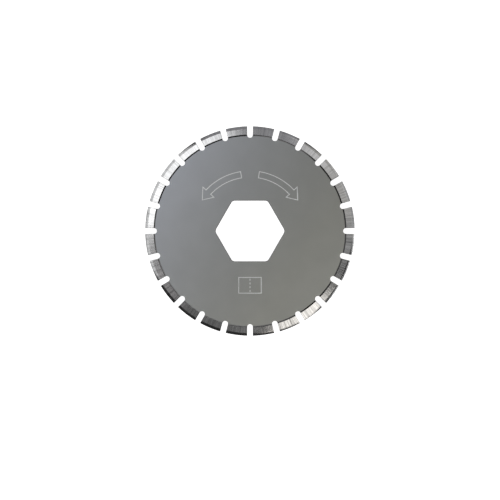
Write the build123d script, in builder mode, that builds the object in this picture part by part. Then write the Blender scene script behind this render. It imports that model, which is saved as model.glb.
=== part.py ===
"""Perforating blade for a rotary paper trimmer, in millimetres.

One thin disc of hardened strip steel. It is stamped with a hexagonal hole that the hub drives, and
with open slots round the rim, so that the cutting edge is a ring of short arcs with a tie left
between each pair. Both sides are ground at the rim: a small step where the wheel ran in, a shallow
main bevel, and a steeper bevel that carries the edge.

The blade lies flat on its lower face. The origin is the centre of the hexagon in that face, +Z is
the blade's axis, and two of the hexagon's corners lie on the X axis.
"""

import os
from math import radians, tan

from build123d import *

# Disc
blade_diameter = 28.0
blade_thickness = 0.30

# Hexagonal hole for the hub
hex_across_flats = 8.10
hex_corner_radius = 0.58
hex_edge_break = 0.03

# Slots between the teeth
tooth_count = 24
slot_width = 0.75
slot_depth = 1.55

# Ground rim, the same on both sides
ground_width = 1.21
step_width = 0.06
step_drop = 0.025
edge_bevel_width = 0.38
edge_bevel_angle = 9.5
edge_land = 0.01

# Places that follow from those sizes
blade_radius = blade_diameter / 2
half_thickness = blade_thickness / 2
ground_radius = blade_radius - ground_width
step_foot_radius = ground_radius + step_width
edge_bevel_radius = blade_radius - edge_bevel_width
half_land = edge_land / 2
half_height_at_edge_bevel = half_land + edge_bevel_width * tan(radians(edge_bevel_angle))
slot_root_radius = slot_width / 2
slot_root_centre = blade_radius - slot_depth + slot_root_radius

mid_plane = Plane(origin=(0, 0, half_thickness), x_dir=(1, 0, 0), z_dir=(0, -1, 0))

with BuildPart() as blade:
    # Half section of the disc, drawn above the middle of its thickness and mirrored below it
    with BuildSketch(mid_plane):
        with BuildLine():
            Polyline(
                (0, 0),
                (0, half_thickness),
                (ground_radius, half_thickness),
                (step_foot_radius, half_thickness - step_drop),
                (edge_bevel_radius, half_height_at_edge_bevel),
                (blade_radius, half_land),
                (blade_radius, 0),
            )
            mirror(about=Plane.XZ)
        make_face()
    revolve(axis=Axis.Z)

    # Hexagonal hole with rounded corners
    with BuildSketch():
        hexagon = RegularPolygon(hex_across_flats / 2, 6, major_radius=False)
        fillet(hexagon.vertices(), hex_corner_radius)
    extrude(amount=blade_thickness, mode=Mode.SUBTRACT)

    # The stamped hole's rims are broken on both faces
    lower_face = blade.faces().sort_by(Axis.Z)[0]
    upper_face = blade.faces().sort_by(Axis.Z)[-1]
    hex_rims = lower_face.inner_wires()[0].edges() + upper_face.inner_wires()[0].edges()
    chamfer(hex_rims, length=hex_edge_break)

    # Round-bottomed slots, each open at the rim
    with BuildSketch():
        with PolarLocations(slot_root_centre, tooth_count):
            Circle(slot_root_radius)
            Rectangle(slot_depth, slot_width, align=(Align.MIN, Align.CENTER))
    extrude(amount=blade_thickness, mode=Mode.SUBTRACT)

blade.part.label = "blade"

os.makedirs("parts", exist_ok=True)
export_step(blade.part, "parts/blade.step")
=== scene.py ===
"""Dresses the perforating rotary blade: its ground and etched surface, in a plain studio.

The blade lies on the floor, z = 0, with its axis on +Z. Blender's objects are in metres. The
blade's own sizes are in millimetres, and its mesh is brought to metres in one place.
"""

import logging
from dataclasses import dataclass
from enum import Enum, IntEnum
from math import atan2, cos, hypot, pi, radians, sin, tan

import bmesh
import bpy
import numpy as np
from mathutils import Matrix, Vector


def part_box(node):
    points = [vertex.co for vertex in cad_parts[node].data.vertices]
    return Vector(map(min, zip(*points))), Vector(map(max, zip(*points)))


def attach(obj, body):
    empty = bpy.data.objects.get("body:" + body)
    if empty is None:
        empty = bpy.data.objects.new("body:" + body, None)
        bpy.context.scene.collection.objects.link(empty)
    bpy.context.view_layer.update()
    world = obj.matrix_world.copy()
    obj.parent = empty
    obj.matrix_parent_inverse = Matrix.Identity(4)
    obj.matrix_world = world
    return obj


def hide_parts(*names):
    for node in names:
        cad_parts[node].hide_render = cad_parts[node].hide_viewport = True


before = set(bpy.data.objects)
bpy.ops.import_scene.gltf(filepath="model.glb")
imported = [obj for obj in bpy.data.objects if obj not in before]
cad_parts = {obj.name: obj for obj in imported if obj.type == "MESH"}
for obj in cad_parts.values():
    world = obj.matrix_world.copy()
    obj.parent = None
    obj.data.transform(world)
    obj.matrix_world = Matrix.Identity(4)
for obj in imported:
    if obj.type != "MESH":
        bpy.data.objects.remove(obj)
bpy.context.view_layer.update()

MM = 0.001
NODE = "blade"
LOG = logging.getLogger("blade")

# Rows of faces that the painted shade along the step has on the flat
SEAM_ROWS = 2

Colour = tuple[float, float, float]
PerAxis = tuple[float, float, float]
Socket = bpy.types.NodeSocket


class Zone(IntEnum):
    """The blade's finishes, in the order of its mesh's material slots."""

    FACE = 0
    # The step, whose near-black colour is painted shade.
    STEP = 1
    BEVEL = 2
    SHEARED = 3
    ETCHED = 4
    # The painted shade along the step.
    SEAM = 5


Finishes = dict[Zone, bpy.types.Material]


def polar(radius: np.ndarray, angle: np.ndarray) -> tuple[np.ndarray, np.ndarray]:
    """Turns polar places into plane ones: x is radius times cosine, y is radius times sine."""
    return radius * np.cos(angle), radius * np.sin(angle)


def blend(start: np.ndarray, end: np.ndarray, count: int) -> np.ndarray:
    """Values from a start to an end in count even steps, along a new last axis."""
    share = np.linspace(0.0, 1.0, count + 1)
    return start[..., None] * (1 - share) + end[..., None] * share


def rounding(steps: int) -> tuple[np.ndarray, np.ndarray]:
    """Insets and drops of a rounded rim of radius 1: one less the sine and cosine of its turn."""
    turn = np.linspace(pi / 2, 0, steps + 1)
    return 1 - np.sin(turn), 1 - np.cos(turn)


def quads_between(index: np.ndarray) -> np.ndarray:
    """Lists the quads between neighbouring rows and columns of a grid of point numbers."""
    corners = [index[:-1, :-1], index[:-1, 1:], index[1:, 1:], index[1:, :-1]]
    return np.stack(corners, axis=-1).reshape(-1, 4)


def placed(name: str, data: bpy.types.ID) -> bpy.types.Object:
    """Makes an object and puts it in the scene, at the origin.

    Args:
        name: The object's name.
        data: Its mesh, light or camera.

    Returns:
        The object.
    """
    thing = bpy.data.objects.new(name, data)
    bpy.context.scene.collection.objects.link(thing)
    return thing


@dataclass(frozen=True)
class Patch:
    """A grid of points on the upper half of the blade, with z counted from mid-thickness."""

    points: np.ndarray
    zones: np.ndarray

    @classmethod
    def of(cls, x: np.ndarray, y: np.ndarray, z: np.ndarray, zones: np.ndarray | Zone) -> "Patch":
        """Stacks three coordinate grids into a patch.

        Args:
            x: Grid of x values.
            y: Grid of y values.
            z: Grid of heights above mid-thickness, or one that spreads over the grid.
            zones: One finish for the patch, or a grid of them that spreads over its faces.

        Returns:
            The patch.
        """
        points = np.stack([x, y, np.broadcast_to(z, x.shape)], axis=-1)
        faces = np.broadcast_to(np.asarray(zones, dtype=int), (x.shape[0] - 1, x.shape[1] - 1))
        return cls(points, faces.ravel())

    def quads(self, start: int) -> np.ndarray:
        """The quads of the grid, with its points numbered from a start."""
        rows, columns = self.points.shape[:2]
        return quads_between(start + np.arange(rows * columns).reshape(rows, columns))


@dataclass
class FacetList:
    """Points, quads and the finish of each quad, gathered from patches."""

    points: np.ndarray
    quads: np.ndarray
    zones: np.ndarray

    @classmethod
    def gather(cls, patches: list[Patch]) -> "FacetList":
        """Joins patches end to end, with their point numbers counted on.

        Args:
            patches: The patches, in order.

        Returns:
            All their facets in one list.
        """
        points = [patch.points.reshape(-1, 3) for patch in patches]
        starts = np.cumsum([0] + [len(flat) for flat in points])
        quads = [patch.quads(start) for patch, start in zip(patches, starts)]
        zones = [patch.zones for patch in patches]
        return cls(np.concatenate(points), np.concatenate(quads), np.concatenate(zones))

    def copied(self, matrices: np.ndarray) -> "FacetList":
        """Repeats the facets once for each 3 by 3 matrix, applied to their points.

        Args:
            matrices: An array of matrices, one for each copy.

        Returns:
            All the copies in one list.
        """
        points = np.einsum("kij,nj->kni", matrices, self.points).reshape(-1, 3)
        shifts = np.arange(len(matrices)) * len(self.points)
        quads = (self.quads[None] + shifts[:, None, None]).reshape(-1, 4)
        return FacetList(points, quads, np.tile(self.zones, len(matrices)))

    def plus(self, other: "FacetList") -> "FacetList":
        """Joins two lists.

        Args:
            other: The list whose facets follow this one's.

        Returns:
            One list of all their facets.
        """
        points = np.concatenate([self.points, other.points])
        quads = np.concatenate([self.quads, other.quads + len(self.points)])
        return FacetList(points, quads, np.concatenate([self.zones, other.zones]))


def closed_piece(name: str, facets: FacetList, weld: float, finishes: Finishes) -> bpy.types.Object:
    """Makes an object whose mesh has its seams welded and its faces pointing outwards.

    Args:
        name: Name of the object and its mesh.
        facets: Points, quads and zones of the mesh.
        weld: Points closer together than this become one.
        finishes: A material for each zone.

    Returns:
        The object, smooth shaded, with each face in its zone's material slot.
    """
    mesh = bpy.data.meshes.new(name)
    for zone in Zone:
        mesh.materials.append(finishes[zone])
    mesh.from_pydata(facets.points, [], facets.quads)
    mesh.polygons.foreach_set("material_index", facets.zones.astype(np.int32))
    mesh.polygons.foreach_set("use_smooth", np.ones(len(facets.quads), dtype=bool))
    shell = bmesh.new()
    shell.from_mesh(mesh)
    bmesh.ops.remove_doubles(shell, verts=shell.verts, dist=weld)
    bmesh.ops.recalc_face_normals(shell, faces=shell.faces)
    shell.to_mesh(mesh)
    shell.free()
    return placed(name, mesh)


@dataclass(frozen=True)
class BladeSizes:
    """The blade's outline and section in millimetres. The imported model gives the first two."""

    radius: float
    thickness: float
    hex_across_flats: float = 8.10
    hex_corner_radius: float = 0.58
    hex_round: float = 0.06
    tooth_count: int = 24
    slot_width: float = 0.75
    slot_depth: float = 1.55
    slot_round: float = 0.035
    slot_round_share: float = 0.6
    ground_width: float = 1.21
    step_width: float = 0.06
    step_drop: float = 0.025
    edge_bevel_width: float = 0.38
    edge_bevel_angle: float = radians(9.5)
    edge_bevel_crown: float = 0.0025
    edge_land: float = 0.01
    # Widths of the painted shade along the step, on the flat and on the main bevel.
    seam_before: float = 0.107
    seam_after: float = 0.026

    @classmethod
    def from_frame(cls) -> "BladeSizes":
        """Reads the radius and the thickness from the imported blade.

        A slot cuts away the rim on each axis, so the box ends at the slots' corners, and the
        radius is the long side of the right triangle with half the box and half a slot.

        Returns:
            The sizes, with all others as they stand above.
        """
        low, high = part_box(NODE)
        half_box = (high.x - low.x) / 2 / MM
        return cls(hypot(half_box, cls.slot_width / 2), (high.z - low.z) / MM)

    @property
    def half_pitch(self) -> float:
        """Angle from the middle of a slot to the middle of a tooth."""
        return pi / self.tooth_count

    @property
    def slot_radius(self) -> float:
        """Radius of a slot's round root."""
        return self.slot_width / 2

    @property
    def root_centre(self) -> float:
        """Distance from the blade's axis to the centre of a slot's round root."""
        return self.radius - self.slot_depth + self.slot_radius

    @property
    def ground_radius(self) -> float:
        """Radius at which the grinding starts."""
        return self.radius - self.ground_width

    @property
    def step_foot(self) -> float:
        """Radius at which the step ends and the main bevel starts."""
        return self.ground_radius + self.step_width

    @property
    def edge_bevel_radius(self) -> float:
        """Radius at which the edge bevel starts."""
        return self.radius - self.edge_bevel_width

    @property
    def seam_start(self) -> float:
        """Radius at which the painted shade along the step starts, on the flat."""
        return self.ground_radius - self.seam_before

    @property
    def seam_end(self) -> float:
        """Radius at which that painted shade ends, on the main bevel."""
        return self.step_foot + self.seam_after

    def half_height(self, radius: np.ndarray) -> np.ndarray:
        """Height of the surface above mid-thickness.

        It is level up to the grinding, and then falls in straight runs: down the step, down the
        main bevel and down the edge bevel to the land. The edge bevel's crown adds four times
        its height, times the share of the run that is done, times the share that is left.

        Args:
            radius: Distances from the axis.

        Returns:
            Heights of the same shape.
        """
        half = self.thickness / 2
        at_land = self.edge_land / 2
        at_bevel = at_land + self.edge_bevel_width * tan(self.edge_bevel_angle)
        stops = [self.ground_radius, self.step_foot, self.edge_bevel_radius, self.radius]
        height = np.interp(radius, stops, [half, half - self.step_drop, at_bevel, at_land])
        done = np.clip((radius - self.edge_bevel_radius) / self.edge_bevel_width, 0, 1)
        return height + 4 * self.edge_bevel_crown * done * (1 - done)

    def slot_rounding(self, radius: np.ndarray) -> np.ndarray:
        """Radius of the rounding along a slot, held to a share of the blade's half height."""
        return np.minimum(self.slot_round, self.slot_round_share * self.half_height(radius))

    def wall_angle(self, radius: np.ndarray, inset: np.ndarray) -> np.ndarray:
        """Azimuth, from the slot's middle, of the point at a radius and an inset from its wall.

        Beyond the root's centre the wall is straight, and the sine of the angle is the offset
        over the radius. Before it the wall is round, and the law of cosines gives the angle at
        the axis in the triangle with the root's centre.

        Args:
            radius: Distances from the axis.
            inset: Distances from the slot's wall.

        Returns:
            Angles in radians.
        """
        offset = self.slot_radius + inset
        straight = radius**2 >= self.root_centre**2 + offset**2
        cosine = radius**2 + self.root_centre**2 - offset**2
        cosine = cosine / (2 * radius * self.root_centre)
        return np.where(straight, np.arcsin(offset / radius), np.arccos(np.minimum(cosine, 1)))

    def root_turn(self, radius: float, inset: np.ndarray) -> np.ndarray:
        """Angle about the root's centre at which a circle round the root meets a radius.

        The law of cosines gives it, in the triangle with the blade's axis.

        Args:
            radius: Distance from the axis.
            inset: Distances of the circles from the slot's wall.

        Returns:
            Angles in radians, counted from straight outwards.
        """
        offset = self.slot_radius + inset
        cosine = (radius**2 - self.root_centre**2 - offset**2) / (2 * self.root_centre * offset)
        return np.arccos(cosine)

    def hexagon(self, angle: np.ndarray, inset: np.ndarray) -> np.ndarray:
        """Distance from the axis to the hexagon, or to its outline moved out by an inset.

        The azimuth is folded to the nearest corner. On a flat the distance is the apothem over
        the cosine of the angle to the flat's middle. On a corner it is the far side of the
        corner's circle: the centre's distance times the cosine, plus the root of the circle's
        radius squared less the square of the centre's distance times the sine.

        Args:
            angle: Azimuths in radians, with a corner at 0.
            inset: Distances from the hexagon, into the blade.

        Returns:
            Distances from the axis.
        """
        sixth = pi / 3
        fold = np.abs(angle - sixth * np.round(angle / sixth))
        apothem = self.hex_across_flats / 2 + inset
        round_radius = self.hex_corner_radius + inset
        centre = (apothem - round_radius) / cos(sixth / 2)
        flat = apothem / np.cos(sixth / 2 - fold)
        under = np.maximum(round_radius**2 - (centre * np.sin(fold)) ** 2, 0)
        corner = centre * np.cos(fold) + np.sqrt(under)
        meeting = np.arctan2(round_radius * sin(sixth / 2), centre + round_radius * cos(sixth / 2))
        return np.where(fold < meeting, corner, flat)


@dataclass(frozen=True)
class MeshSteps:
    """How finely the blade's grids are divided, and where they are tied, in millimetres.

    A collar of even width runs along each slot's wall. A four-sided box of flat lies round the
    slot's root, from box_radius out to the grinding and from the slot's middle to box_angle. The
    ray that leaves the root at box_turn runs to the box's corner.
    """

    support: float = 0.012
    rounding: int = 4
    hex_rounding: int = 5
    collar: float = 0.12
    collar_out: int = 2
    box_radius: float = 12.2
    box_angle: float = radians(2.95)
    box_turn: float = radians(135)
    box_across: int = 4
    box_along: int = 4
    tooth: int = 6
    web: int = 5
    main_bevel: int = 3
    edge_bevel: int = 7
    weld: float = 0.00005
    crease: float = radians(30)


class PerforatingBlade:
    """The blade: a disc with a hexagonal hole, ground teeth, rounded rims and etched marks.

    One half of one slot's pitch is worked out above mid-thickness. Its mirror images and turns
    make the toothed ring, and a ring of the web fills in to the hexagon.
    """

    def __init__(self, sizes: BladeSizes, steps: MeshSteps) -> None:
        """Keeps the sizes and the steps."""
        self.sizes = sizes
        self.steps = steps

    def collar_columns(self, radius: np.ndarray) -> tuple[np.ndarray, np.ndarray]:
        """Insets from the slot's wall, and the drop at each, at some radii.

        The rounding's section comes first, times its radius, then a row that ties it, and the
        edge of the collar, both on the flat.

        Args:
            radius: Distances from the axis, as a column.

        Returns:
            Insets and drops, with a column for each step of the collar.
        """
        round_in, round_down = rounding(self.steps.rounding)
        round_radius = self.sizes.slot_rounding(radius)
        level = np.zeros_like(round_radius)
        insets = [round_radius * round_in, round_radius + self.steps.support]
        insets.append(level + self.steps.collar)
        return np.hstack(insets), np.hstack([round_radius * round_down, level, level])

    def tooth_radii(self) -> np.ndarray:
        """Radii of a tooth's rows, close together on both sides of each crease.

        Returns:
            The radii, from the grinding out to the rim.
        """
        sizes, gap = self.sizes, self.steps.support
        main = np.linspace(sizes.seam_end, sizes.edge_bevel_radius - gap, self.steps.main_bevel)
        edge = np.linspace(sizes.edge_bevel_radius + gap, sizes.radius, self.steps.edge_bevel)
        foot = sizes.step_foot
        step = [sizes.ground_radius, sizes.ground_radius + gap, foot - gap, foot]
        return np.concatenate([step, main, [sizes.edge_bevel_radius], edge])

    def tooth(self) -> list[Patch]:
        """Half a tooth, with its rows on circles round the axis.

        Returns:
            Its ground surface, its wall along the slot and its land at the rim.
        """
        sizes, steps = self.sizes, self.steps
        radius = self.tooth_radii()[:, None]
        inset, drop = self.collar_columns(radius)
        collar = sizes.wall_angle(radius, inset)
        edge_of_box = np.full(len(radius), steps.box_angle)
        between = blend(collar[:, -1], edge_of_box, steps.collar_out)[:, 1:]
        rest = blend(edge_of_box, np.full(len(radius), sizes.half_pitch), steps.tooth)[:, 1:]
        angle = np.hstack([collar, between, rest])
        level = np.zeros((len(radius), between.shape[1] + rest.shape[1]))
        x, y = polar(radius, angle)
        z = sizes.half_height(radius) - np.hstack([drop, level])
        outer = radius[1:, 0]
        zones = np.full((len(outer), angle.shape[1] - 1), Zone.BEVEL)
        zones[:, :steps.rounding] = Zone.SHEARED
        zones[outer <= sizes.seam_end] = Zone.SEAM
        zones[outer <= sizes.step_foot] = Zone.STEP
        top = Patch.of(x, y, z, zones)
        wall = self.down(x[:, 0], y[:, 0], z[:, 0], Zone.SHEARED)
        return [top, wall, self.down(x[-1], y[-1], z[-1], Zone.BEVEL)]

    @staticmethod
    def down(x: np.ndarray, y: np.ndarray, z: np.ndarray, zone: Zone) -> Patch:
        """A wall straight down from an edge to mid-thickness."""
        return Patch.of(np.stack([x, x]), np.stack([y, y]), np.stack([z, 0 * z]), zone)

    def root(self) -> list[Patch]:
        """The flat round a slot's root, out to the four-sided box, and the root's wall.

        Each ray starts on a circle round the root's centre, at a turn about it. Past the collar
        it runs, straight in radius and azimuth, to its own place on the box. The last rays, one
        more than the painted shade has rows, each keep to one radius and so run on into the tooth's
        flat.

        Returns:
            The collar, the flat beyond it and the wall.
        """
        sizes, steps = self.sizes, self.steps
        inset, drop = self.collar_columns(np.array([[sizes.ground_radius]]))
        inset, drop = inset[0], drop[0]
        side = self.side_radii()
        seam_turns = [sizes.root_turn(radius, inset) for radius in side[-SEAM_ROWS - 1:]]
        corner_turn = np.full_like(inset, steps.box_turn)
        across = blend(np.full_like(inset, pi), corner_turn, steps.box_across).T
        along = blend(corner_turn, seam_turns[0], steps.box_along).T[1:]
        turn = np.vstack([across, along, *seam_turns[1:]])
        x = sizes.root_centre + (sizes.slot_radius + inset) * np.cos(turn)
        y = (sizes.slot_radius + inset) * np.sin(turn)
        z = np.broadcast_to(sizes.thickness / 2 - drop, x.shape)

        box_radius = np.concatenate([np.full(steps.box_across, steps.box_radius), side])
        box_angle = np.concatenate([self.box_angles()[:-1], np.full(len(side), steps.box_angle)])
        start_radius = np.hypot(x[:, -1], y[:, -1])
        start_angle = np.arctan2(y[:, -1], x[:, -1])
        out_x, out_y = polar(blend(start_radius, box_radius, steps.collar_out),
                             blend(start_angle, box_angle, steps.collar_out))
        level = np.full_like(out_x, sizes.thickness / 2)
        zones = self.flat_zones(len(turn))
        return [Patch.of(x, y, z, zones), Patch.of(out_x, out_y, level, zones),
                self.down(x[:, 0], y[:, 0], z[:, 0], Zone.SHEARED)]

    def side_radii(self) -> np.ndarray:
        """Radii up the side of the box round a slot's root. The last SEAM_ROWS are the painted
        shade's.

        Returns:
            The radii, from the box's corner out to the grinding.
        """
        sizes, steps = self.sizes, self.steps
        plain = np.linspace(steps.box_radius, sizes.seam_start, steps.box_along + 1)
        return np.append(plain, [sizes.ground_radius - steps.support, sizes.ground_radius])

    @staticmethod
    def flat_zones(rows: int) -> np.ndarray:
        """Finishes of the quads between rows of points that run out to the grinding.

        Args:
            rows: Number of rows of points.

        Returns:
            A column of zones, one for each row of quads.
        """
        zones = np.full((rows - 1, 1), Zone.FACE)
        zones[-SEAM_ROWS:] = Zone.SEAM
        return zones

    def box_angles(self) -> np.ndarray:
        """Azimuths along the inner side of the box round a slot's root."""
        return np.linspace(0, self.steps.box_angle, self.steps.box_across + 1)

    def tooth_angles(self) -> np.ndarray:
        """Azimuths from that box to the middle of the tooth."""
        return np.linspace(self.steps.box_angle, self.sizes.half_pitch, self.steps.tooth + 1)

    def between_roots(self) -> Patch:
        """The flat between the box round a slot's root and the middle of the tooth.

        Returns:
            The patch, with its rows on circles round the axis.
        """
        radius = self.side_radii()[:, None]
        x, y = polar(radius, self.tooth_angles()[None])
        level = np.full_like(x, self.sizes.thickness / 2)
        return Patch.of(x, y, level, self.flat_zones(len(radius)))

    def web(self) -> list[Patch]:
        """The flat ring from the hexagon's rounded rim to the toothed ring, and the hole's wall.

        Its columns stand at the azimuths of the toothed ring's inner points.

        Returns:
            The flat with its rim, and the wall.
        """
        sizes, steps = self.sizes, self.steps
        half = np.append(self.box_angles()[:-1], self.tooth_angles())
        pitch = np.concatenate([-half[:0:-1], half[:-1]])
        starts = np.arange(sizes.tooth_count)[:, None] * 2 * sizes.half_pitch
        angle = np.append((starts + pitch).ravel(), 2 * pi - sizes.half_pitch)[None]

        round_in, round_down = rounding(steps.hex_rounding)
        inset = sizes.hex_round * np.append(round_in, 1)[:, None]
        inset[-1] += steps.support
        drop = sizes.hex_round * np.append(round_down, 0)[:, None]
        rim = sizes.hexagon(angle, inset)
        outer = blend(rim[-1], np.full(angle.shape[1], steps.box_radius), steps.web).T[1:]
        radius = np.vstack([rim, outer])
        x, y = polar(radius, angle)
        z = sizes.thickness / 2 - np.vstack([drop, np.zeros((steps.web, 1))])
        z = np.broadcast_to(z, x.shape)
        zones = np.full((len(radius) - 1, 1), Zone.FACE)
        zones[:steps.hex_rounding] = Zone.SHEARED
        return [Patch.of(x, y, z, zones), self.down(x[0], y[0], z[0], Zone.SHEARED)]

    def facets(self) -> FacetList:
        """Mirrors and turns the patches into the whole closed surface.

        Returns:
            The surface's facets, in millimetres, with the lower face at z = 0.
        """
        angle = np.arange(self.sizes.tooth_count) * 2 * self.sizes.half_pitch
        turns = np.zeros((len(angle), 3, 3))
        turns[:, 0, 0] = turns[:, 1, 1] = np.cos(angle)
        turns[:, 1, 0] = np.sin(angle)
        turns[:, 0, 1] = -np.sin(angle)
        turns[:, 2, 2] = 1
        half_pitch = FacetList.gather([*self.tooth(), *self.root(), self.between_roots()])
        left_and_right = np.stack([np.eye(3), np.diag([1, -1, 1])])
        ring = half_pitch.copied(left_and_right).copied(turns)
        upper = ring.plus(FacetList.gather(self.web()))
        whole = upper.copied(np.stack([np.eye(3), np.diag([1, 1, -1])]))
        whole.points[:, 2] += self.sizes.thickness / 2
        return whole

    @staticmethod
    def cut(piece: bpy.types.Object, cutter: bpy.types.Object) -> None:
        """Cuts one closed object out of another. The cut faces keep the cutter's zones.

        Args:
            piece: The object whose mesh is replaced by the cut one.
            cutter: The object that is cut out of it, which is then removed.
        """
        modifier = piece.modifiers.new("grooves", "BOOLEAN")
        modifier.operation = "DIFFERENCE"
        modifier.solver = "MANIFOLD"
        modifier.object = cutter
        bpy.context.view_layer.update()
        graph = bpy.context.evaluated_depsgraph_get()
        cut_mesh = bpy.data.meshes.new_from_object(piece.evaluated_get(graph))
        piece.modifiers.clear()
        piece.data = cut_mesh
        bpy.data.objects.remove(cutter)

    @staticmethod
    def sharpen_zone_rims(mesh: bpy.types.Mesh, zone: Zone) -> None:
        """Makes each edge between a zone and the rest sharp, so that the flat stays flat there.

        Args:
            mesh: The mesh, with a zone as each face's material slot.
            zone: The zone whose rims are sharpened.
        """
        shell = bmesh.new()
        shell.from_mesh(mesh)
        for edge in shell.edges:
            inside = [face.material_index == zone for face in edge.link_faces]
            if any(inside) and not all(inside):
                edge.smooth = False
        shell.to_mesh(mesh)
        shell.free()

    def build(self, marks: "EtchedMarks", finishes: Finishes) -> bpy.types.Object:
        """Makes the blade, cuts its marks and dresses it.

        Args:
            marks: The grooves to cut in the upper face.
            finishes: A material for each zone.

        Returns:
            The finished object, at the origin, in metres.
        """
        piece = closed_piece("blade_surface", self.facets(), self.steps.weld, finishes)
        cutter = closed_piece("groove_cutter", marks.facets(), self.steps.weld, finishes)
        self.cut(piece, cutter)
        mesh = piece.data
        mesh.set_sharp_from_angle(angle=self.steps.crease)
        self.sharpen_zone_rims(mesh, Zone.ETCHED)
        mesh.transform(Matrix.Scale(MM, 4))
        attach(piece, "root")
        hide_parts(NODE)
        return piece


@dataclass(frozen=True)
class EtchedMarks:
    """Two plain arrows along an arc, for both ways of rolling, and a small perforated sheet.

    Each mark is a thin line etched into the upper face. Sizes are in millimetres.
    """

    surface: float
    line_width: float = 0.11
    floor_width: float = 0.06
    depth: float = 0.004
    lift: float = 0.02
    arrow_radius: float = 7.6
    shaft_half: float = 0.42
    head_half: float = 1.0
    tail_angle: float = radians(9)
    neck_angle: float = radians(47)
    tip_angle: float = radians(57)
    arc_steps: int = 40
    sheet_width: float = 3.0
    sheet_height: float = 2.1
    sheet_centre: float = -7.25
    dash_count: int = 4
    dash_length: float = 0.27

    def arrow(self, side: int) -> np.ndarray:
        """Closed outline of one arrow, whose shaft follows a circle round the blade's axis.

        Args:
            side: 1 for the arrow that points left from the top, or -1 for the other.

        Returns:
            Points of the outline, one to a row.
        """
        out = np.full(self.arc_steps, self.arrow_radius + self.shaft_half)
        back = np.full(self.arc_steps, self.arrow_radius - self.shaft_half)
        sweep = np.linspace(self.tail_angle, self.neck_angle, self.arc_steps)
        head = self.arrow_radius + self.head_half * np.array([1, 0, -1])
        radius = np.concatenate([out, head, back])
        head_angle = [self.neck_angle, self.tip_angle, self.neck_angle]
        angle = np.concatenate([sweep, head_angle, sweep[::-1]])
        return np.stack(polar(radius, pi / 2 + side * angle), axis=-1)

    def sheet(self) -> np.ndarray:
        """Closed outline of the sheet, an upright rectangle.

        Returns:
            Its four corners, one to a row.
        """
        half = np.array([self.sheet_width, self.sheet_height]) / 2
        corners = np.array([[-1, -1], [1, -1], [1, 1], [-1, 1]]) * half
        return corners + [0, self.sheet_centre]

    def dashes(self) -> list[np.ndarray]:
        """The sheet's perforation: short upright lines, evenly spread between its long sides.

        Returns:
            Two end points for each line.
        """
        clear = self.sheet_height - self.line_width
        pitch = clear / self.dash_count
        middles = self.sheet_centre - clear / 2 + (np.arange(self.dash_count) + 0.5) * pitch
        ends = np.array([-0.5, 0.5]) * self.dash_length
        return [np.stack([0 * ends, middle + ends], axis=-1) for middle in middles]

    def groove(self, path: np.ndarray, closed: bool) -> FacetList:
        """Carries the groove's section along a flat path.

        At each point the section stands on the mitre line: the sum of the unit normals of the
        two runs that meet there, over one plus the dot product of those normals. The groove's
        sides go on up past the surface, so that the cut is clean.

        Args:
            path: Points of the line's middle, one to a row.
            closed: Whether the last point joins the first.

        Returns:
            A closed tube with four corners in its section.
        """
        run = np.roll(path, -1, axis=0) - path
        run /= np.linalg.norm(run, axis=1)[:, None]
        after = np.stack([-run[:, 1], run[:, 0]], axis=-1)
        before = np.roll(after, 1, axis=0)
        if not closed:
            after[-1] = before[-1]
            before[0] = after[0]
        across = (before + after) / (1 + np.sum(before * after, axis=1))[:, None]

        slope = (self.line_width - self.floor_width) / 2 / self.depth
        top_half = self.line_width / 2 + slope * self.lift
        floor_half = self.floor_width / 2
        side = np.array([-top_half, -floor_half, floor_half, top_half])
        height = self.surface + np.array([self.lift, -self.depth, -self.depth, self.lift])
        flat = path[:, None] + across[:, None] * side[None, :, None]
        shape = flat.shape[:2]
        points = np.dstack([flat, np.broadcast_to(height, shape)]).reshape(-1, 3)

        index = np.arange(len(points)).reshape(shape)
        rings = np.hstack([index, index[:, :1]])
        if closed:
            quads = quads_between(np.vstack([rings, rings[:1]]))
        else:
            quads = np.vstack([quads_between(rings), index[0], index[-1, ::-1]])
        return FacetList(points, quads, np.full(len(quads), Zone.ETCHED))

    def facets(self) -> FacetList:
        """All the grooves, each a closed tube.

        Returns:
            Their facets, in millimetres.
        """
        outlines = [self.sheet(), self.arrow(1), self.arrow(-1)]
        grooves = [self.groove(outline, closed=True) for outline in outlines]
        grooves += [self.groove(dash, closed=False) for dash in self.dashes()]
        whole = grooves[0]
        for groove in grooves[1:]:
            whole = whole.plus(groove)
        return whole


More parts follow.
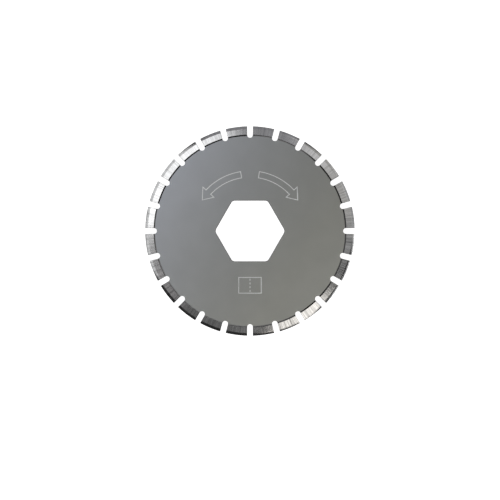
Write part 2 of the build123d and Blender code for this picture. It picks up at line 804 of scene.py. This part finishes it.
class NodeSheet:
    """The node tree of a material or a world, with short calls to add and join nodes."""

    def __init__(self, owner: bpy.types.Material | bpy.types.World) -> None:
        """Clears the tree of the material or world that owns it.

        Args:
            owner: The material or the world.
        """
        owner.use_nodes = True
        self.owner = owner
        self.tree = owner.node_tree
        self.tree.nodes.clear()

    def add(self, kind: str, feeds: dict[str | int, object], **settings: object) -> bpy.types.Node:
        """Adds a node, sets its properties and feeds its inputs.

        Args:
            kind: The node's type, without its ShaderNode prefix.
            feeds: A fixed value, or a socket to link, for each input's name or number.
            settings: Values of the node's own properties.

        Returns:
            The node.
        """
        node = self.tree.nodes.new("ShaderNode" + kind)
        for name, value in settings.items():
            setattr(node, name, value)
        for key, value in feeds.items():
            if isinstance(value, Socket):
                self.tree.links.new(value, node.inputs[key])
            else:
                node.inputs[key].default_value = value
        return node

    def math(self, operation: str, *values: float | Socket) -> Socket:
        """Works out a value from numbers or sockets."""
        return self.add("Math", dict(enumerate(values)), operation=operation).outputs[0]

    def vector(self, operation: str, feeds: dict[str | int, object]) -> Socket:
        """Works out a vector from the inputs of a Vector Math node."""
        return self.add("VectorMath", feeds, operation=operation).outputs["Vector"]

    def place(self) -> Socket:
        """The surface's place in its object, in metres."""
        return self.add("TexCoord", {}).outputs["Object"]

    def stretched(self, scale: PerAxis) -> Socket:
        """The surface's place with each axis times its own scale."""
        return self.add("Mapping", {"Vector": self.place(), "Scale": scale}).outputs[0]

    def noise(self, place: Socket, scale: float = 1.0, detail: float = 2.0,
              roughness: float = 0.5) -> Socket:
        """Noise read at a place, from 0 to 1 and mostly near the middle."""
        feeds = {"Vector": place, "Scale": scale, "Detail": detail, "Roughness": roughness}
        return self.add("TexNoise", feeds).outputs[0]

    def spread(self, value: Socket, low: float, high: float, start: float = 0.3,
               end: float = 0.7) -> Socket:
        """Maps start to low and end to high. The default range takes in most of a noise."""
        feeds = {"Value": value, "From Min": start, "From Max": end, "To Min": low, "To Max": high}
        return self.add("MapRange", feeds).outputs[0]

    def about(self, noise: Socket, middle: float, swing: float) -> Socket:
        """Maps a noise to a swing on both sides of a middle."""
        return self.spread(noise, middle - swing, middle + swing)

    def mixed(self, first: Socket, second: Socket, share: float) -> Socket:
        """Adds a share of one value to the rest of another."""
        rest = self.math("MULTIPLY", second, 1 - share)
        return self.math("ADD", self.math("MULTIPLY", first, share), rest)

    def scaled(self, vector: Colour | Socket, factor: float | Socket) -> Socket:
        """A colour, or another vector, times a factor."""
        return self.vector("SCALE", {0: vector, "Scale": factor})

    def toward(self, azimuth: float, reach: float) -> Socket:
        """How far the surface lies towards an azimuth, as a share of a reach.

        Args:
            azimuth: The azimuth in radians.
            reach: The distance at which the share is 1, in metres.

        Returns:
            The share, which is negative on the other side.
        """
        way = (cos(azimuth) / reach, sin(azimuth) / reach, 0.0)
        feeds = {0: self.place(), 1: way}
        return self.add("VectorMath", feeds, operation="DOT_PRODUCT").outputs["Value"]

    def between(self, first: Colour, second: Colour, share: Socket) -> Socket:
        """A colour between two, held to the first below share 0 and to the second above 1.

        Args:
            first: One colour.
            second: The other.
            share: How far the colour is from the first to the second.

        Returns:
            The colour.
        """
        node = self.add("Mix", {"Factor": share}, data_type="RGBA")
        colour_inputs = [socket for socket in node.inputs if socket.type == "RGBA"]
        for socket, colour in zip(colour_inputs, (first, second)):
            socket.default_value = (*colour, 1.0)
        return next(socket for socket in node.outputs if socket.type == "RGBA")

    def metal(self, colour: Socket, noise: Socket, roughness: float, swing: float,
              relief: float) -> bpy.types.Material:
        """Finishes the sheet as bare metal that one noise roughens and raises.

        Args:
            colour: The metal's colour.
            noise: The noise.
            roughness: The metal's roughness at the middle of the noise.
            swing: How much rougher it is where the noise is high.
            relief: The height of the noise's relief in metres.

        Returns:
            The finished material.
        """
        rough = self.about(noise, roughness, swing)
        bump = self.add("Bump", {"Distance": relief, "Height": noise}).outputs["Normal"]
        feeds = {"Metallic": 1.0, "Base Color": colour, "Roughness": rough, "Normal": bump}
        shader = self.add("BsdfPrincipled", feeds)
        self.add("OutputMaterial", {"Surface": shader.outputs["BSDF"]})
        return self.owner


@dataclass(frozen=True)
class SatinSteel:
    """The flat of the strip: satin, with painted light and shade, rolling lines and fine grain.

    Over the reach, painted light turns the colour from warm to cool and raises its level along a
    curve towards the key light's azimuth, and painted shade makes it fall off towards another.
    """

    # Painted light: warm colour away from the key light, cool colour towards it.
    warm: Colour = (0.545, 0.550, 0.508)
    cool: Colour = (0.527, 0.550, 0.591)
    reach: float = 0.014
    painted_light_azimuth: float = radians(146)
    cool_from: float = -0.55
    cool_to: float = 0.85
    # Painted light and shade: the level, its rise towards the key light and its fall towards
    # another azimuth.
    level: float = 0.777
    painted_light_slope: float = 0.030
    painted_light_curve: float = 0.175
    painted_shade_azimuth: float = radians(45)
    painted_shade_slope: float = -0.083
    roughness: float = 0.34
    roughness_swing: float = 0.03
    mottle_scale: float = 330.0
    mottle: float = 0.03
    line_stretch: PerAxis = (60.0, 3800.0, 60.0)
    line_share: float = 0.6
    grain_scale: float = 9000.0
    relief: float = 1.6e-7

    def material(self) -> bpy.types.Material:
        """Painted light and shade set the colour, mottle tints it, and lines and grain set the
        roughness and a slight relief.

        Returns:
            The material of the flat.
        """
        sheet = NodeSheet(bpy.data.materials.new("satin_steel"))
        lines = sheet.noise(sheet.stretched(self.line_stretch), detail=4.0, roughness=0.65)
        grain = sheet.noise(sheet.place(), self.grain_scale)
        both = sheet.mixed(lines, grain, self.line_share)
        # Painted light and shade: brighter and cooler towards the key light, darker towards the
        # other azimuth.
        toward_painted_light = sheet.toward(self.painted_light_azimuth, self.reach)
        toward_painted_shade = sheet.toward(self.painted_shade_azimuth, self.reach)
        painted_light_rise = sheet.math("MULTIPLY_ADD", toward_painted_light, self.painted_light_curve, self.painted_light_slope)
        level = sheet.math("MULTIPLY_ADD", toward_painted_light, painted_light_rise, self.level)
        level = sheet.math("MULTIPLY_ADD", toward_painted_shade, self.painted_shade_slope, level)
        share = sheet.spread(toward_painted_light, 0.0, 1.0, self.cool_from, self.cool_to)
        painted_light_tone = sheet.scaled(sheet.between(self.warm, self.cool, share), level)
        mottle = sheet.noise(sheet.place(), self.mottle_scale, detail=3.0)
        tint = sheet.scaled(painted_light_tone, sheet.about(mottle, 1.0, self.mottle))
        return sheet.metal(tint, both, self.roughness, self.roughness_swing, self.relief)


@dataclass(frozen=True)
class GroundSteel:
    """The ground bevels, or the step where the wheel ran in: fine streaks across the rim.

    A few deeper scores are the streaks of a third noise over a threshold, and look darker. The
    grinding is more even towards one azimuth, where streaks and scores fade to a share.
    """

    name: str
    colour: Colour
    roughness: float
    roughness_swing: float = 0.06
    fine_per_radian: float = 62.0
    coarse_per_radian: float = 26.0
    cells_per_metre_out: float = 160.0
    fine_share: float = 0.6
    contrast: float = 0.45
    score_per_radian: float = 60.0
    score_from: float = 0.57
    score_to: float = 0.70
    score_depth: float = 0.52
    even_azimuth: float = radians(95)
    reach: float = 0.014
    even_from: float = -0.45
    even_to: float = 0.65
    even_share: float = 0.40
    relief: float = 2.2e-6

    def material(self) -> bpy.types.Material:
        """Streaks and scores tint the steel, and a brighter streak is smoother.

        Returns:
            The material of the bevels or the step.
        """
        sheet = NodeSheet(bpy.data.materials.new(self.name))
        fine = self.streaks(sheet, self.fine_per_radian)
        coarse = self.streaks(sheet, self.coarse_per_radian)
        both = sheet.mixed(fine, coarse, self.fine_share)
        even = sheet.toward(self.even_azimuth, self.reach)
        strength = sheet.spread(even, 1.0, self.even_share, self.even_from, self.even_to)
        swing = sheet.about(both, 0.0, self.contrast)
        tint = sheet.scaled(self.colour, sheet.math("MULTIPLY_ADD", swing, strength, 1.0))
        scores = self.streaks(sheet, self.score_per_radian)
        loss = sheet.spread(scores, 0.0, -self.score_depth, self.score_from, self.score_to)
        tint = sheet.scaled(tint, sheet.math("MULTIPLY_ADD", loss, strength, 1.0))
        return sheet.metal(tint, both, self.roughness, -self.roughness_swing, self.relief)

    def streaks(self, sheet: NodeSheet, per_radian: float) -> Socket:
        """Streaks that run out from the axis: noise that hardly changes with the radius.

        It is read at the unit direction from the axis times the cells to a radian, with the
        radius times its own scale as the height.

        Args:
            sheet: The material's nodes.
            per_radian: How many cells of noise there are to a radian.

        Returns:
            The noise's value.
        """
        flat = sheet.vector("MULTIPLY", {0: sheet.place(), 1: (1.0, 1.0, 0.0)})
        length = sheet.add("VectorMath", {0: flat}, operation="LENGTH").outputs["Value"]
        direction = sheet.vector("NORMALIZE", {0: flat})
        spun = sheet.add("SeparateXYZ", {0: sheet.scaled(direction, per_radian)}).outputs
        outwards = sheet.math("MULTIPLY", length, self.cells_per_metre_out)
        read_at = sheet.add("CombineXYZ", {"X": spun["X"], "Y": spun["Y"], "Z": outwards})
        return sheet.noise(read_at.outputs[0], detail=3.0, roughness=0.6)


@dataclass(frozen=True)
class PaintedStepShade:
    """Painted shade along the step, which fades and grows lighter towards a few azimuths.

    For each of them it has the azimuth, the share of the reach from which the painted shade
    fades, and how far it has faded in the end.
    """

    # Painted shade: dark where it is full, and the next colour where it has faded.
    dark: Colour = (0.02, 0.02, 0.02)
    thin: Colour = (0.40, 0.40, 0.40)
    reach: float = 0.014
    fade_to: float = 0.90
    fadings: tuple[tuple[float, float, float], ...] = (
        (radians(234), 0.27, 1.0),
        (radians(70), 0.83, 0.75),
        (radians(346), 0.80, 0.35),
    )
    roughness: float = 0.40
    roughness_swing: float = 0.05
    grain_scale: float = 9000.0
    contrast: float = 0.20
    relief: float = 1.0e-6

    def material(self) -> bpy.types.Material:
        """A grain tints and roughens the painted shade over its slow change round the rim.

        Returns:
            The material of the painted shade.
        """
        sheet = NodeSheet(bpy.data.materials.new("painted_step_shade"))
        share = 0.0
        for azimuth, start, fade_depth in self.fadings:
            near = sheet.toward(azimuth, self.reach)
            fading = sheet.spread(near, 0.0, fade_depth, start, self.fade_to)
            share = sheet.math("MAXIMUM", fading, share)
        grain = sheet.noise(sheet.place(), self.grain_scale)
        tint = sheet.scaled(sheet.between(self.dark, self.thin, share),
                            sheet.about(grain, 1.0, self.contrast))
        return sheet.metal(tint, grain, self.roughness, self.roughness_swing, self.relief)


@dataclass(frozen=True)
class ShearedSteel:
    """The stamped walls and their rims: duller, marked up and down by the punch, and near black
    with painted shade.
    """

    # Near black: painted shade on the walls and their rounded rims.
    colour: Colour = (0.05, 0.05, 0.05)
    roughness: float = 0.40
    roughness_swing: float = 0.08
    stretch: PerAxis = (14000.0, 14000.0, 1500.0)
    contrast: float = 0.15
    relief: float = 1.5e-6

    def material(self) -> bpy.types.Material:
        """Noise drawn out along the blade's axis tints the wall and roughens it.

        Returns:
            The material of the walls.
        """
        sheet = NodeSheet(bpy.data.materials.new("sheared_steel_painted_shade"))
        marks = sheet.noise(sheet.stretched(self.stretch), detail=3.0)
        tint = sheet.scaled(self.colour, sheet.about(marks, 1.0, self.contrast))
        return sheet.metal(tint, marks, self.roughness, self.roughness_swing, self.relief)


@dataclass(frozen=True)
class EtchedSteel:
    """The etched lines: frosted, so that they catch more light than the satin round them."""

    colour: Colour = (0.87, 0.885, 0.88)
    roughness: float = 0.36
    roughness_swing: float = 0.06
    grain_scale: float = 14000.0
    contrast: float = 0.10
    relief: float = 2.0e-6

    def material(self) -> bpy.types.Material:
        """A fine frost tints the line and roughens it.

        Returns:
            The material of the marks.
        """
        sheet = NodeSheet(bpy.data.materials.new("etched_steel"))
        frost = sheet.noise(sheet.place(), self.grain_scale)
        tint = sheet.scaled(self.colour, sheet.about(frost, 1.0, self.contrast))
        return sheet.metal(tint, frost, self.roughness, self.roughness_swing, self.relief)


@dataclass(frozen=True)
class FloorWhite:
    """Matt white that the camera sees as white, with the blade's shadow kept."""

    albedo: float = 0.80
    lift: float = 0.90

    def material(self) -> bpy.types.Material:
        """A matt white, plus a glow for camera, glossy and transmission rays alone.

        Returns:
            The material of the floor.
        """
        sheet = NodeSheet(bpy.data.materials.new("floor_white"))
        path = sheet.add("LightPath", {}).outputs
        seen = sheet.math("MAXIMUM", path["Is Camera Ray"], path["Is Glossy Ray"])
        seen = sheet.math("MAXIMUM", seen, path["Is Transmission Ray"])
        glow = sheet.add("Emission", {"Strength": sheet.math("MULTIPLY", seen, self.lift)})
        matt = sheet.add("BsdfDiffuse", {"Color": (self.albedo, self.albedo, self.albedo, 1.0)})
        total = sheet.add("AddShader", {0: matt.outputs[0], 1: glow.outputs[0]})
        sheet.add("OutputMaterial", {"Surface": total.outputs[0]})
        return sheet.owner


class Glow(Enum):
    """Colours of the soft lights."""

    WHITE = (1.0, 1.0, 1.0)
    CLEAR = (0.985, 0.993, 1.0)
    BLUISH = (0.95, 0.95, 1.0)
    IVORY = (1.0, 0.985, 0.95)
    WARM = (1.0, 0.965, 0.91)
    ROSY = (1.0, 0.96, 0.97)


@dataclass(frozen=True)
class Softbox:
    """A soft light that faces the blade, with its place and sides as degrees off the zenith.

    The first two angles say how far it leans to +X and to +Y, and the next two are its width
    along X and its height along Y.
    """

    name: str
    east: float
    north: float
    width: float
    height: float
    brightness: float
    glow: Glow = Glow.WHITE
    distance: float = 0.6

    def hang(self) -> bpy.types.Object:
        """Places the light. Its power is its brightness times its area times pi.

        Returns:
            The light's object.
        """
        lamp = bpy.data.lights.new(self.name, "AREA")
        lamp.shape = "RECTANGLE"
        lamp.size = radians(self.width) * self.distance
        lamp.size_y = radians(self.height) * self.distance
        lamp.energy = pi * lamp.size * lamp.size_y * self.brightness
        lamp.color = self.glow.value
        tilt = radians(hypot(self.east, self.north))
        azimuth = atan2(self.north, self.east)
        way = Vector((sin(tilt) * cos(azimuth), sin(tilt) * sin(azimuth), cos(tilt)))
        up = way.cross(Vector((1.0, 0.0, 0.0))).normalized()
        turn = Matrix((up.cross(way), up, way)).transposed()
        holder = placed(self.name, lamp)
        holder.matrix_world = Matrix.Translation(way * self.distance) @ turn.to_4x4()
        return holder


@dataclass(frozen=True)
class Studio:
    """A white floor that curves up far away, a grey surround, soft lights and the camera.

    Lengths are in metres. The photograph's scale and the blade's place in it set the view. The
    sky is a grey for each height above the horizon, from 0 there to 1 overhead.
    """

    level_radii: tuple[float, ...] = (0.002, 0.1, 0.3)
    floor_radius: float = 0.6
    cove_radius: float = 0.15
    cove_steps: int = 24
    floor_turns: int = 96
    sky: tuple[tuple[float, float], ...] = (
        (0.0, 0.45), (0.40, 0.42), (0.70, 0.38), (0.865, 0.34),
        (0.90, 0.02), (0.95, 0.02), (0.98, 0.06), (1.0, 0.06),
    )
    picture_pixels: float = 500.0
    pixels_per_mm: float = 7.483
    pixels_below_centre: float = 19.0
    camera_height: float = 0.30
    camera_clip: tuple[float, float] = (0.01, 10.0)
    sensor: float = 36.0

    def floor(self) -> bpy.types.Object:
        """A profile turned about the axis: level, and then a quarter circle up to its edge.

        Returns:
            The floor's object.
        """
        turn = np.linspace(0, pi / 2, self.cove_steps)
        cove_out = self.floor_radius + self.cove_radius * np.sin(turn)
        cove_up = self.cove_radius * (1 - np.cos(turn))
        out = np.concatenate([self.level_radii, cove_out])
        up = np.concatenate([np.zeros(len(self.level_radii)), cove_up])
        angle = np.linspace(0, 2 * pi, self.floor_turns, endpoint=False)
        x, y = polar(out[None], angle[:, None])
        points = np.stack([x, y, np.broadcast_to(up, x.shape)], axis=-1).reshape(-1, 3)
        index = np.arange(len(points)).reshape(x.shape)
        quads = quads_between(np.vstack([index, index[:1]]))
        mesh = bpy.data.meshes.new("floor")
        mesh.from_pydata(points, [], quads.tolist() + [index[:, 0].tolist()])
        mesh.polygons.foreach_set("use_smooth", np.ones(len(mesh.polygons), dtype=bool))
        mesh.materials.append(FloorWhite().material())
        floor = placed("floor", mesh)
        return floor

    def surround(self) -> None:
        """A grey world, darker overhead than at the horizon."""
        sheet = NodeSheet(bpy.data.worlds.new("surround"))
        direction = sheet.add("TexCoord", {}).outputs["Generated"]
        upward = sheet.add("SeparateXYZ", {0: direction}).outputs["Z"]
        ramp = sheet.add("ValToRGB", {"Fac": upward})
        stops = ramp.color_ramp.elements
        for height, _ in self.sky[1:-1]:
            stops.new(height)
        for stop, (height, grey) in zip(stops, self.sky):
            stop.position = height
            stop.color = (grey, grey, grey, 1.0)
        light = sheet.add("Background", {"Color": ramp.outputs["Color"]})
        sheet.add("OutputWorld", {"Surface": light.outputs[0]})
        bpy.context.scene.world = sheet.owner

    @staticmethod
    def lights() -> list[bpy.types.Object]:
        """The soft lights, each placed for what the ground rim and the flat show of it.

        Returns:
            The lights' objects.
        """
        boxes = [
            Softbox("key", -10.1, 7.1, 9.9, 12.6, 1.37, Glow.CLEAR),
            Softbox("key_edge", -3.5, 7.1, 3.3, 12.6, 0.90, Glow.CLEAR),
            Softbox("key_spill", -18.5, 5.2, 12.5, 28.3, 0.86, Glow.CLEAR),
            Softbox("low_strip", 9.0, -13.9, 11.75, 13.2, 1.44, Glow.WARM),
            Softbox("right_fill", 13.1, 10.45, 13.9, 17.9, 0.46, Glow.IVORY),
            Softbox("right_mid", 11.8, -0.6, 9.0, 4.0, 0.31),
            Softbox("right_low", 11.8, -4.2, 9.0, 3.2, 0.14),
            Softbox("right_rim", 27.1, -3.2, 6.6, 6.4, 1.50),
            Softbox("side_rim", 25.9, -8.9, 7.0, 5.0, 1.50),
            Softbox("low_rim", 23.5, -14.2, 7.6, 6.0, 1.50),
            Softbox("right_edge", 22.8, 7.5, 8.0, 20.0, 0.40),
            Softbox("top_fill", 0.0, 24.3, 22.5, 33.7, 0.29, Glow.BLUISH),
            Softbox("left_fill", -9.3, -1.05, 5.2, 14.9, 0.24, Glow.ROSY),
            Softbox("foot_fill", -0.75, -13.2, 4.5, 12.4, 0.13),
            Softbox("low_left", -8.25, -12.6, 10.5, 8.2, 0.10),
            Softbox("far_left", -22.0, -39.0, 45.0, 25.0, 0.60),
        ]
        return [box.hang() for box in boxes]

    def on_floor(self, pixels: float) -> float:
        """Length on the floor, in metres, that a number of the photograph's pixels spans."""
        return pixels / self.pixels_per_mm * MM

    def camera(self) -> bpy.types.Object:
        """A long lens straight above, aimed a little below the blade as the photograph is.

        Returns:
            The camera's object.
        """
        data = bpy.data.cameras.new("camera")
        data.sensor_width = self.sensor
        data.lens = self.sensor * self.camera_height / self.on_floor(self.picture_pixels)
        data.clip_start, data.clip_end = self.camera_clip
        camera = placed("camera", data)
        camera.location = (0.0, -self.on_floor(self.pixels_below_centre), self.camera_height)
        bpy.context.scene.camera = camera
        return camera


def write_sizes() -> None:
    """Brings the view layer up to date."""
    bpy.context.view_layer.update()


def main() -> None:
    """Builds the studio and the blade, and reports each piece."""
    logging.basicConfig(level=logging.INFO, format="%(name)s: %(message)s")
    bpy.context.scene.view_settings.view_transform = "Standard"
    studio = Studio()
    studio.camera()
    floor = studio.floor()
    studio.surround()
    LOG.info("studio with %d soft lights", len(studio.lights()))

    finishes = {
        Zone.FACE: SatinSteel().material(),
        # The step's near-black colour is painted shade.
        Zone.STEP: GroundSteel("step_steel_painted_shade", (0.036, 0.036, 0.036), roughness=0.20).material(),
        Zone.BEVEL: GroundSteel("ground_steel", (0.60, 0.60, 0.60), roughness=0.10,
                                roughness_swing=0.025).material(),
        Zone.SHEARED: ShearedSteel().material(),
        Zone.ETCHED: EtchedSteel().material(),
        Zone.SEAM: PaintedStepShade().material(),
    }
    sizes = BladeSizes.from_frame()
    marks = EtchedMarks(surface=sizes.thickness)
    blade = PerforatingBlade(sizes, MeshSteps()).build(marks, finishes)
    for piece in (floor, blade):
        LOG.info("%s with %d faces", piece.name, len(piece.data.polygons))
    write_sizes()


if __name__ == "__main__":
    main()
